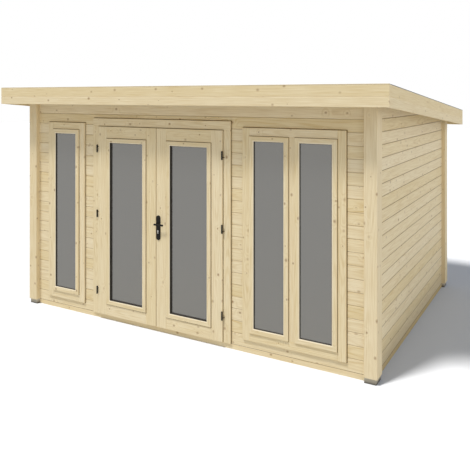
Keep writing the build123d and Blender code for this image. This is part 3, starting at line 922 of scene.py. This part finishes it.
@dataclass
class Window:
    """Fixed window: board frame, sashes with mitred corners, sealed units and dark strips of painted
    shade.
    """

    side: str
    lights: int
    finishes: Finishes
    glazing: Glazing
    face: float = 76 * MM
    proud: float = 20 * MM
    liner: float = 28 * MM
    stop: float = 15 * MM
    stop_setback: float = 15 * MM
    mullion: float = 60 * MM
    sash_face: float = 47 * MM
    # Widths of the painted shade strips beyond the trim and round each sash
    trim_shade_strip: float = 6 * MM
    sash_shade_strip: float = 4 * MM

    def build(self) -> None:
        """Builds the window's pieces."""
        low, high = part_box(f"{self.side}_window_frame")
        made = self.finishes.made
        x0, x1, z0, z1 = low.x + self.face, high.x - self.face, low.z + self.face, high.z - self.face
        front, wall, inside = low.y, low.y + self.proud, high.y
        stop_y, stop = wall + self.stop_setback, self.stop
        boards = self.upright_frame(x0, x1, z0, z1, self.face, front, wall)
        boards += self.upright_frame(x0, x1, z0, z1, self.liner, wall, inside)
        boards += self.upright_frame(x0 + stop, x1 - stop, z0 + stop, z1 - stop, stop, stop_y, inside)
        light = (x1 - x0 - (self.lights - 1) * self.mullion) / self.lights
        for i in range(1, self.lights):
            left = x0 + i * light + (i - 1) * self.mullion
            right = left + self.mullion
            boards.append(plank((left, front, z0), (right, inside, z1), Axis.Z))
            boards += [plank((x, stop_y, z0 + stop), (x + stop, inside, z1 - stop), Axis.Z)
                       for x in (left - stop, right)]
        make_piece(f"{self.side}_window_boards", joined(boards), made["planed_spruce_joinery"],
                   "cabin", [f"{self.side}_window_frame"])
        strips = self.sashes(light, front)
        # Painted shade: a dark strip round the trim, seen at its top and right edges, stands in for the
        # shade there
        strips.append(shade_strip(low.x, high.x, low.z, high.z, self.trim_shade_strip, wall))
        make_piece(f"{self.side}_window_shade_strip", joined(strips), made["brown_painted_shade_strip"], "cabin")

    def upright_frame(self, x0: float, x1: float, z0: float, z1: float, width: float, front: float,
                      back: float) -> list[Shape]:
        """Boards round a clear opening: full-height sides with the head and sill between them.

        Args:
            x0: Left edge of the opening.
            x1: Right edge of the opening.
            z0: Lower edge of the opening.
            z1: Upper edge of the opening.
            width: Width of the boards.
            front: Outer face, y.
            back: Inner face, y.

        Returns:
            Four boards.
        """
        return [
            plank((x0 - width, front, z0 - width), (x0, back, z1 + width), Axis.Z),
            plank((x1, front, z0 - width), (x1 + width, back, z1 + width), Axis.Z),
            plank((x0, front, z0 - width), (x1, back, z0), Axis.X),
            plank((x0, front, z1), (x1, back, z1 + width), Axis.X),
        ]

    def sashes(self, light: float, face: float) -> list[Shape]:
        """Builds the sashes and their glass.

        Args:
            light: Clear width of one light.
            face: Outer face of the boards round them, y.

        Returns:
            The strip of painted shade round each sash.
        """
        low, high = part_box(f"{self.side}_window_sash")
        pitch, inset = light + self.mullion, self.sash_face
        width = high.x - low.x - (self.lights - 1) * pitch
        profile = sash_profile(self.sash_face, low.y, high.y, self.glazing.chamfer)
        rings, strips = [], []
        for i in range(self.lights):
            left = low.x + i * pitch
            right = left + width
            rings.append(mitred(left, right, low.z, high.z, profile))
            # Painted shade: a dark strip round each sash stands in for the shade along its edges
            strips.append(shade_strip(left, right, low.z, high.z, self.sash_shade_strip, face))
            self.glazing.unit(f"{self.side}_window_{i + 1}",
                              (left + inset, right - inset, low.z + inset, high.z - inset),
                              low.y, low.y + self.glazing.recess, "cabin",
                              [f"{self.side}_window_glass"] if i == 0 else [])
        make_piece(f"{self.side}_window_sashes", joined(rings),
                   self.finishes.made["planed_spruce_glazing_bars"], "cabin",
                   [f"{self.side}_window_sash"])
        return strips


def sash_profile(width: float, front: float, back: float, chamfer: float,
                 ease: float = 2.5 * MM) -> list[Pair]:
    """Outline of a glazed frame's bar: eased outer edge, chamfer towards the glass.

    Args:
        width: Width of the bar.
        front: Outer face, y.
        back: Inner face, y.
        chamfer: Chamfer beside the glass.
        ease: Rounding of the outer edges.

    Returns:
        (distance in, y) pairs.
    """
    return [
        (0, front + ease), (ease * 0.3, front + ease * 0.3), (ease, front), (width - chamfer, front),
        (width - chamfer * 0.3, front + chamfer * 0.45), (width, front + chamfer),
        (width, back - ease * 0.5), (width - ease * 0.5, back), (ease, back), (0, back - ease),
    ]


@dataclass
class Doorway:
    """Jambs, head and threshold of the doorway, and the trims indoors round it and the windows."""

    finishes: Finishes
    face: float = 76 * MM
    head_face: float = 82 * MM
    proud: float = 20 * MM
    liner: float = 28 * MM
    stop: float = 15 * MM
    stop_setback: float = 15 * MM
    # Width of the painted shade strip beside the doorway's trims, and the ease of its edges
    trim_shade_strip: float = 6 * MM
    shade_strip_ease: float = 0.2 * MM
    trim_ease: float = 2 * MM
    sill_ease: float = 6 * MM

    def build(self) -> None:
        """Builds the doorway's pieces."""
        joinery = self.finishes.made["planed_spruce_joinery"]
        for side, out in (("left", -1), ("right", 1)):
            node = f"door_jamb_{side}"
            low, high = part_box(node)
            edge = high.x - self.stop if out < 0 else low.x + self.stop
            front, wall, inside = low.y, low.y + self.proud, high.y
            parts = [
                (edge, edge + out * self.face, front, wall),
                (edge, edge + out * self.liner, wall, inside),
                (edge - out * self.stop, edge, wall + self.stop_setback, inside),
            ]
            boards = [plank((min(a, b), y0, low.z), (max(a, b), y1, high.z), Axis.Z)
                      for a, b, y0, y1 in parts]
            make_piece(f"doorway_{side}_side", joined(boards), joinery, "cabin", [node])
        self.head(joinery)
        self.shade_strips()
        self.trims_indoors(joinery)
        sill = plank(*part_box("threshold"), Axis.X, self.sill_ease)
        make_piece("doorway_sill", sill, joinery, "cabin", ["threshold"])

    def head(self, joinery: Material) -> None:
        """Builds the head: its face, its liner and its stop.

        Args:
            joinery: Finish of the wood.
        """
        low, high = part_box("door_head")
        clear = high.z - self.head_face
        wall, inside = low.y + self.proud, high.y
        x0, x1 = low.x + self.face, high.x - self.face
        boards = [
            plank((low.x, low.y, clear), (high.x, wall, high.z), Axis.X),
            plank((x0 - self.liner, wall, clear), (x1 + self.liner, inside, clear + self.liner),
                  Axis.X),
            plank((x0 + self.stop, wall + self.stop_setback, clear - self.stop),
                  (x1 - self.stop, inside, clear), Axis.X),
        ]
        make_piece("doorway_head", joined(boards), joinery, "cabin", ["door_head"])

    def shade_strips(self) -> None:
        """Builds the strips of painted shade up both sides and over the head."""
        low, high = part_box("door_head")
        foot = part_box("door_jamb_left")[0].z
        wall, top = low.y + self.proud, high.z + self.trim_shade_strip
        front, back = wall - SHADE_STRIP_PROUD, wall + SHADE_STRIP_SUNK
        strips = [
            plank((low.x - self.trim_shade_strip, front, foot), (low.x, back, top), Axis.Z, self.shade_strip_ease),
            plank((high.x, front, foot), (high.x + self.trim_shade_strip, back, top), Axis.Z, self.shade_strip_ease),
            plank((low.x, front, high.z), (high.x, back, top), Axis.X, self.shade_strip_ease),
        ]
        make_piece("doorway_shade_strip", joined(strips), self.finishes.made["brown_painted_shade_strip"], "cabin")

    def trims_indoors(self, joinery: Material) -> None:
        """Builds the trims round the doorway and the windows indoors.

        Args:
            joinery: Finish of the wood.
        """
        low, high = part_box("door_inner_trim")
        clear = high.z - self.head_face
        trims = [
            plank((low.x, low.y, low.z), (low.x + self.face, high.y, clear), Axis.Z),
            plank((high.x - self.face, low.y, low.z), (high.x, high.y, clear), Axis.Z),
            plank((low.x, low.y, clear), (high.x, high.y, high.z), Axis.X),
        ]
        make_piece("doorway_trim_indoors", joined(trims), joinery, "cabin",
                   ["door_inner_trim"])
        wall, room = (corner.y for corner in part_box("window_inner_trims"))
        profile = sash_profile(self.face, room, wall, 0.0, self.trim_ease)
        frames = [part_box(f"{side}_window_frame") for side in ("left", "right")]
        boards = [mitred(low.x, high.x, low.z, high.z, profile) for low, high in frames]
        make_piece("window_trims_indoors", joined(boards), joinery, "cabin",
                   ["window_inner_trims"])


@dataclass
class Door:
    """One leaf: stiles, rails and the frame that holds its glass."""

    side: str
    finishes: Finishes
    glazing: Glazing
    stile: float = 126 * MM
    bottom_rail: float = 120 * MM
    bar: float = 45 * MM
    # Width of the painted shade strip round the glazing bars
    bar_shade_strip: float = 6 * MM

    def build(self) -> None:
        """Builds the leaf's pieces."""
        body = f"{self.side}_door"
        made = self.finishes.made
        low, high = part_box(f"{self.side}_door_leaf")
        inner0, inner1 = low.x + self.stile, high.x - self.stile
        boards = [
            plank((low.x, low.y, low.z), (inner0, high.y, high.z), Axis.Z),
            plank((inner1, low.y, low.z), (high.x, high.y, high.z), Axis.Z),
            plank((inner0, low.y, low.z), (inner1, high.y, low.z + self.bottom_rail), Axis.X),
            plank((inner0, low.y, high.z - self.stile), (inner1, high.y, high.z), Axis.X),
        ]
        make_piece(f"{self.side}_door_boards", joined(boards), made["planed_spruce_joinery"], body,
                   [f"{self.side}_door_leaf"])
        face = low.y
        low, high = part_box(f"{self.side}_door_glazing_frame")
        profile = sash_profile(self.bar, low.y, high.y, self.glazing.chamfer)
        bars = mitred(low.x, high.x, low.z, high.z, profile)
        make_piece(f"{self.side}_door_glass_bars", bars, made["planed_spruce_glazing_bars"], body,
                   [f"{self.side}_door_glazing_frame"])
        # Painted shade: a dark strip round the glazing bars stands in for the shade along their edges
        make_piece(f"{self.side}_door_shade_strip", shade_strip(low.x, high.x, low.z, high.z, self.bar_shade_strip, face),
                   made["brown_painted_shade_strip"], body)
        opening = (low.x + self.bar, high.x - self.bar, low.z + self.bar, high.z - self.bar)
        self.glazing.unit(f"{self.side}_door", opening, low.y, face + self.glazing.recess, body,
                          [f"{self.side}_door_glass"])


@dataclass
class Ironmongery:
    """Hinges, handle and lock, with the screws of the handle plates.

    Each hinge is drawn as a turned barrel in two halves, with round studs into jamb and leaf.
    """

    finishes: Finishes
    hinge_heights: tuple[float, ...] = (0.310, 1.135, 1.837)
    hinge_reach: float = 42.5 * MM
    barrel: float = 8 * MM
    stud: float = 3.5 * MM
    stud_length: float = 45 * MM
    stud_steps: int = 14
    jamb_lean: float = 25.0
    leaf_lean: float = -45.0
    screw_radius: float = 3.6 * MM
    screw_inset: float = 16 * MM
    keyway_drop: float = 8.5 * MM
    keyway: tuple[float, float, float] = (0.9 * MM, 0.4 * MM, 4.5 * MM)
    keyway_ease: float = 0.3 * MM

    def stud_bar(self, start: np.ndarray, lean: float) -> Shape:
        """Round stud from a hinge's axis into the wood.

        At an angle t its skin lies at the middle line, plus the radius times cos t sideways and the
        radius times sin t up.

        Args:
            start: Point on the hinge's axis.
            lean: Angle that it leans along X as it goes into the wood, in radians.

        Returns:
            The stud.
        """
        angle = np.linspace(0, 2 * np.pi, self.stud_steps, endpoint=False)[:, None]
        into = np.array([math.sin(lean), math.cos(lean), 0])
        side = np.array([math.cos(lean), -math.sin(lean), 0])
        ring = start + self.stud * (np.cos(angle) * side + np.sin(angle) * np.array([0, 0, 1]))
        return plain(*carried(np.stack([ring, ring + self.stud_length * into]), closed=False))

    def hinges(self, coat: Material) -> None:
        """Builds the hinges: the lower half of each barrel on the jamb, the upper half on the leaf.

        Args:
            coat: Their finish.
        """
        r, reach = self.barrel, self.hinge_reach
        half = [(r * 0.72, 0.15 * MM), (r * 0.97, 0.6 * MM), (r, 1.4 * MM), (r, reach - 3.5 * MM),
                (r * 0.93, reach - 1.7 * MM), (r * 0.7, reach - 0.4 * MM), (r * 0.4, reach)]
        for side, out in (("left", -1), ("right", 1)):
            low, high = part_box(f"{side}_hinge_leaf_side")
            x, y = low.x + r if out < 0 else high.x - r, low.y + r
            for part, way, lean, body in (("jamb", -1, self.jamb_lean, "cabin"),
                                          ("leaf", 1, self.leaf_lean, f"{side}_door")):
                shapes = []
                for z in self.hinge_heights:
                    shapes.append(turned((x, y, z), Axis.Z, way, half))
                    start = np.array([x, y, z + way * reach / 2])
                    shapes.append(self.stud_bar(start, math.radians(lean) * out))
                make_piece(f"{side}_hinges_on_{part}", joined(shapes), coat, body,
                           [f"{side}_hinge_{part}_side"])

    def screw(self, centre: Point, outward: float) -> Shape:
        """Screw head with a sunk drive, standing out of a face along Y.

        Args:
            centre: Middle of its foot.
            outward: 1 or -1 along Y.

        Returns:
            The head.
        """
        r = self.screw_radius
        return turned(centre, Axis.Y, outward, [(r, -0.5 * MM), (r, 0.3 * MM), (r * 0.75, 0.9 * MM),
                                                (r * 0.42, 1.1 * MM), (r * 0.38, 0.4 * MM)])

    def build(self) -> None:
        """Dresses the fittings and adds their screws and keyways."""
        coat = self.finishes.made["black_powder_coat"]
        dress_nodes(coat, "handle_plates", "door_lever")
        self.hinges(coat)
        dress_nodes(self.finishes.made["satin_nickel"], "lock_cylinder")
        low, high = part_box("handle_plates")
        x = (low.x + high.x) / 2
        heads = [self.screw((x, face, z), outward)
                 for z in (low.z + self.screw_inset, high.z - self.screw_inset)
                 for face, outward in ((low.y, -1), (high.y, 1))]
        make_piece("handle_screws", joined(heads), coat, "right_door",
                   smooth=True)
        low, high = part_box("lock_cylinder")
        half_width, proud, half_height = self.keyway
        x, z = (low.x + high.x) / 2, high.z - self.keyway_drop
        slots = [plank((x - half_width, y0, z - half_height), (x + half_width, y1, z + half_height),
                       Axis.Z, self.keyway_ease)
                 for y0, y1 in ((low.y - proud, low.y), (high.y, high.y + proud))]
        make_piece("lock_keyways", joined(slots), coat, "right_door")


@dataclass
class Roof:
    """Felt laid in strips across the fall, its nails, the lath before it and the timber round it."""

    finishes: Finishes
    strip: float = 0.92
    lap: float = 0.08
    last_strip: float = 0.2
    felt: float = 6 * MM
    sheet: float = 3 * MM
    verge: float = 60 * MM
    step: float = 0.5 * MM
    front_edge: float = 1.2 * MM
    lath_ease: float = 1 * MM
    nail_inset: float = 30 * MM
    nail_pitch: float = 0.15
    nail_ends: Pair = (0.08, 0.05)
    nail_head: tuple[Pair, ...] = (
        (5 * MM, -1 * MM), (5 * MM, 0.3 * MM), (3.4 * MM, 0.8 * MM))
    nail_steps: int = 10

    def surface(self, y: float | np.ndarray) -> float | np.ndarray:
        """Height of the covering's top plane at y: straight from the front edge to the rear one."""
        low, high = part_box("roof_covering")
        return high.z - (y - low.y) / (high.y - low.y) * (high.z - self.felt - low.z)

    def build(self) -> None:
        """Builds the felt, nails and lath, and dresses the timber."""
        made = self.finishes.made
        self.covering(made["mineral_roofing_felt"])
        self.nails(made["satin_nickel"])
        low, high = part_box("front_fascia")
        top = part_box("roof_covering")[1].z
        lath = plank((low.x, low.y, top - self.felt + self.front_edge), (high.x, high.y, top), Axis.X,
                     self.lath_ease)
        make_piece("front_capping_lath", lath, made["planed_spruce_joinery"], "cabin")
        for finish, *nodes in (("planed_spruce_deck", "roof_deck"), ("planed_spruce_beams", "purlins"),
                               ("planed_spruce_eaves", "front_fascia"),
                               ("planed_spruce_rear_eaves", "rear_fascia"),
                               ("planed_spruce_verges", "left_fascia", "right_fascia")):
            dress_nodes(made[finish], *nodes)

    def covering(self, finish: Material) -> None:
        """Builds the felt.

        Its underside is the deck's plane, and its top lies one sheet above that, or two where sheets
        lap: all round the rim, and just up the fall from each strip's edge, where the height grows
        evenly over the lap towards the edge and then drops within half a millimetre.

        Args:
            finish: Finish of the felt.
        """
        low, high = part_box("roof_covering")
        edges = np.arange(low.y + self.strip, high.y - self.last_strip, self.strip)
        front, rear, left, right = (low.y + self.verge, high.y - self.verge, low.x + self.verge,
                                    high.x - self.verge)
        y = np.sort(np.concatenate([[low.y, high.y], edges - self.lap, edges, edges + self.step,
                                    [front, front + MM, rear - MM, rear]]))
        x = np.array([low.x, left, left + MM, right - MM, right, high.x])
        ahead = edges[:, None] - y
        nearest = np.where(ahead >= -TINY, ahead, np.inf).min(axis=0)
        ramp = np.clip(1 - nearest / self.lap, 0, 1)
        rim_y = (y <= front + TINY) | (y >= rear - TINY)
        rim_x = (x <= left + TINY) | (x >= right - TINY)
        lift = np.where(rim_x[:, None] | rim_y, 1.0, ramp)
        bottom = self.surface(y) - self.felt + np.zeros((len(x), 1))
        top = bottom + self.sheet + self.sheet * lift
        # Its front edge is pressed down thin behind the top of the front fascia
        pressed = y <= low.y + 0.5 * self.verge
        top[:, pressed] = (bottom + self.front_edge)[:, pressed]
        make_piece("roofing_felt", draped(x, y, top, bottom), finish, "cabin",
                   ["roof_covering"])

    def nails(self, finish: Material) -> None:
        """Adds clout nails along both verges.

        Args:
            finish: Finish of the nails.
        """
        low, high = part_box("roof_covering")
        heads = []
        for x in (low.x + self.nail_inset, high.x - self.nail_inset):
            for y in np.arange(low.y + self.nail_ends[0], high.y - self.nail_ends[1], self.nail_pitch):
                heads.append(turned((x, y, float(self.surface(y))), Axis.Z, 1, self.nail_head,
                                    self.nail_steps))
        make_piece("felt_nails", joined(heads), finish, "cabin")


@dataclass
class Shell:
    """Bearers on the ground, the side ones in painted shade, a strip of painted shade over them, and
    the finishes of walls, posts and floor.
    """

    finishes: Finishes
    bearer: float = 70 * MM
    sill_shade_strip: float = 2.5 * MM
    shade_strip_in: float = 1 * MM
    shade_strip_out: float = 0.5 * MM
    ease: float = 0.6 * MM

    def round_walls(self, inset: float, out: float, z0: float, z1: float) -> list[Shape]:
        """Four boards round the foot of the walls: front and rear at full width, sides between them.

        Args:
            inset: How far they reach in from the walls' faces.
            out: How far they stand out.
            z0: Lower edge.
            z1: Upper edge.

        Returns:
            The boards.
        """
        low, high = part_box("base_bearers")
        x0, x1, y0, y1 = low.x - out, high.x + out, low.y - out, high.y + out
        a, b = low.y + inset, high.y - inset
        return [
            plank((x0, y0, z0), (x1, a, z1), Axis.X, self.ease),
            plank((x0, b, z0), (x1, y1, z1), Axis.X, self.ease),
            plank((x0, a, z0), (low.x + inset, b, z1), Axis.Y, self.ease),
            plank((high.x - inset, a, z0), (x1, b, z1), Axis.Y, self.ease),
        ]

    def build(self) -> None:
        """Builds the bearers and the strip of painted shade over them, and dresses the rest of the
        timber.
        """
        made = self.finishes.made
        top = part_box("base_bearers")[1].z
        boards = self.round_walls(self.bearer, 0.0, 0.0, top)
        make_piece("ground_bearers", joined(boards[:2]), made["sawn_spruce_bearers"], "cabin",
                   ["base_bearers"])
        # Painted shade: the side bearers take the darker finish
        make_piece("side_bearers", joined(boards[2:]), made["painted_shade_spruce_bearers"], "cabin")
        # Painted shade: a dark strip where the walls meet the bearers stands in for the shade line
        # there
        shade_strips = self.round_walls(self.shade_strip_in, self.shade_strip_out, top - self.sill_shade_strip, top)
        make_piece("sill_shade_strip", joined(shade_strips), made["brown_painted_shade_strip"], "cabin")
        for finish, *nodes in (
                ("planed_spruce_boards_x", "front_wall_left", "front_wall_mid_left",
                 "front_wall_mid_right", "front_wall_right", "front_wall_top", "wall_under_windows",
                 "wall_over_windows", "rear_wall"),
                ("planed_spruce_boards_y", "left_wall", "right_wall"),
                ("planed_spruce_posts", "front_left_post", "front_right_post", "rear_left_post",
                 "rear_right_post"),
                ("planed_spruce_floor", "floor"),
                ("sawn_spruce_joists", "floor_joists"),
                ("treated_foot_timber", "post_feet")):
            dress_nodes(made[finish], *nodes)


def seen_directly(tree: Tree) -> Node:
    """Tells where a surface is looked at, and not only lit.

    Args:
        tree: Node tree.

    Returns:
        Node that is 1 to the camera, to gloss and through glass, and 0 to any other ray.
    """
    path = add_node(tree, "LightPath")
    seen = add_node(tree, "Math", {0: path.outputs["Is Camera Ray"], 1: path.outputs["Is Glossy Ray"]},
                    operation="MAXIMUM")
    return add_node(tree, "Math", {0: seen, 1: path.outputs["Is Transmission Ray"]},
                    operation="MAXIMUM")


@dataclass
class Studio:
    """Pale floor, plain soft light and the camera at the photograph's angle.

    Lengths are in metres, angles in degrees, lamps in watts per square metre, and the camera's focal
    length, frame width and horizon in pixels of the frame.
    """

    eye: tuple[float, float, float] = (3.479, -6.346, 2.400)
    turn: float = 29.65
    focal: float = 598.4
    frame_width: float = 470.0
    horizon: float = 96.34
    sensor: float = 36.0
    far: float = 200.0
    sky: float = 0.4
    sun: float = 1.97
    sun_from: tuple[float, float, float] = (-0.225, -0.424, 0.877)
    sun_spread: float = 10.5
    fill: float = 1.0
    fill_from: tuple[float, float, float] = (0.95, -0.30, 0.03)
    fill_spread: float = 110.0
    floor_sun: float = 3.0
    floor_sun_tone: str = "#FFF0D6"
    floor_as_seen: str = "#C8CFDC"
    floor_as_light: str = "#ACB1B8"
    floor_reach: float = 40.0

    def build(self) -> None:
        """Builds the studio."""
        self.camera()
        self.world()
        self.lamp("key_sun", self.sun_from, self.sun, self.sun_spread)
        self.lamp("side_fill", self.fill_from, self.fill, self.fill_spread)
        # Lights the floor alone, from the same side as the key, so that the floor is white outside the
        # shadow and the shadow is as deep and as plain as a printed one
        extra = self.lamp("floor_sun", self.sun_from, self.floor_sun, self.sun_spread)
        extra.data.color = linear(self.floor_sun_tone)[:3]
        lit = bpy.data.collections.new("floor_alone")
        lit.objects.link(self.floor())
        extra.light_linking.receiver_collection = lit
        bpy.context.scene.view_settings.view_transform = "Standard"
        LOG.info("studio ready")

    def camera(self) -> None:
        """Adds the camera: level, turned to the left, its view shifted down."""
        data = bpy.data.cameras.new("photo_camera")
        data.sensor_width = self.sensor
        data.lens = self.focal / self.frame_width * self.sensor
        data.shift_y = (self.horizon - self.frame_width / 2) / self.frame_width
        data.clip_end = self.far
        made = bpy.data.objects.new("photo_camera", data)
        made.location = self.eye
        made.rotation_euler = (math.pi / 2, 0, math.radians(self.turn))
        bpy.context.scene.collection.objects.link(made)
        bpy.context.scene.camera = made

    def lamp(self, name: str, towards: Point, strength: float, spread: float) -> bpy.types.Object:
        """Adds a sun lamp.

        Args:
            name: Its name.
            towards: Direction from the object to the lamp.
            strength: Irradiance in watts per square metre.
            spread: Width of the lamp in the sky, in degrees.

        Returns:
            The lamp.
        """
        data = bpy.data.lights.new(name, "SUN")
        data.energy = strength
        data.angle = math.radians(spread)
        made = bpy.data.objects.new(name, data)
        x, y, z = np.array(towards) / np.linalg.norm(towards)
        made.rotation_euler = (math.acos(z), 0, math.atan2(y, x) + math.pi / 2)
        bpy.context.scene.collection.objects.link(made)
        return made

    def world(self) -> None:
        """Makes the sky: white to the camera, to gloss and through glass, softer as light."""
        made = bpy.data.worlds.new("studio_sky")
        bpy.context.scene.world = made
        made.use_nodes = True
        tree = made.node_tree
        tree.nodes.clear()
        strength = add_node(tree, "MapRange", {"Value": seen_directly(tree), "To Min": self.sky})
        light = add_node(tree, "Background", {"Color": linear("#FFFFFF"), "Strength": strength})
        add_node(tree, "OutputWorld", {"Surface": light})

    def floor(self) -> bpy.types.Object:
        """Makes the floor: white to the camera where nothing shades it, pale grey as a reflector.

        Returns:
            The floor.
        """
        mesh = bpy.data.meshes.new("studio_floor")
        corners = [(-1, -1), (1, -1), (1, 1), (-1, 1)]
        mesh.from_pydata([(x * self.floor_reach, y * self.floor_reach, 0) for x, y in corners], [],
                         [(0, 1, 2, 3)])
        made = new_material("studio_floor_white")
        tree = made.node_tree
        pale = add_node(tree, "BsdfDiffuse", {"Color": linear(self.floor_as_light)})
        white = add_node(tree, "BsdfDiffuse", {"Color": linear(self.floor_as_seen)})
        both = add_node(tree, "MixShader", {0: seen_directly(tree), 1: pale, 2: white})
        add_node(tree, "OutputMaterial", {"Surface": both})
        mesh.materials.append(made)
        floor = bpy.data.objects.new("studio_floor", mesh)
        bpy.context.scene.collection.objects.link(floor)
        return floor


def main() -> None:
    """Dresses the building in order and sets up the studio."""
    logging.basicConfig(level=logging.INFO, format="%(name)s: %(message)s")
    finishes = Finishes()
    finishes.build()
    glazing = Glazing(finishes)
    Studio().build()
    Shell(finishes).build()
    Roof(finishes).build()
    Window("left", 1, finishes, glazing).build()
    Window("right", 2, finishes, glazing).build()
    Ironmongery(finishes).build()
    Doorway(finishes).build()
    Door("left", finishes, glazing).build()
    Door("right", finishes, glazing).build()


if __name__ == "__main__":
    main()
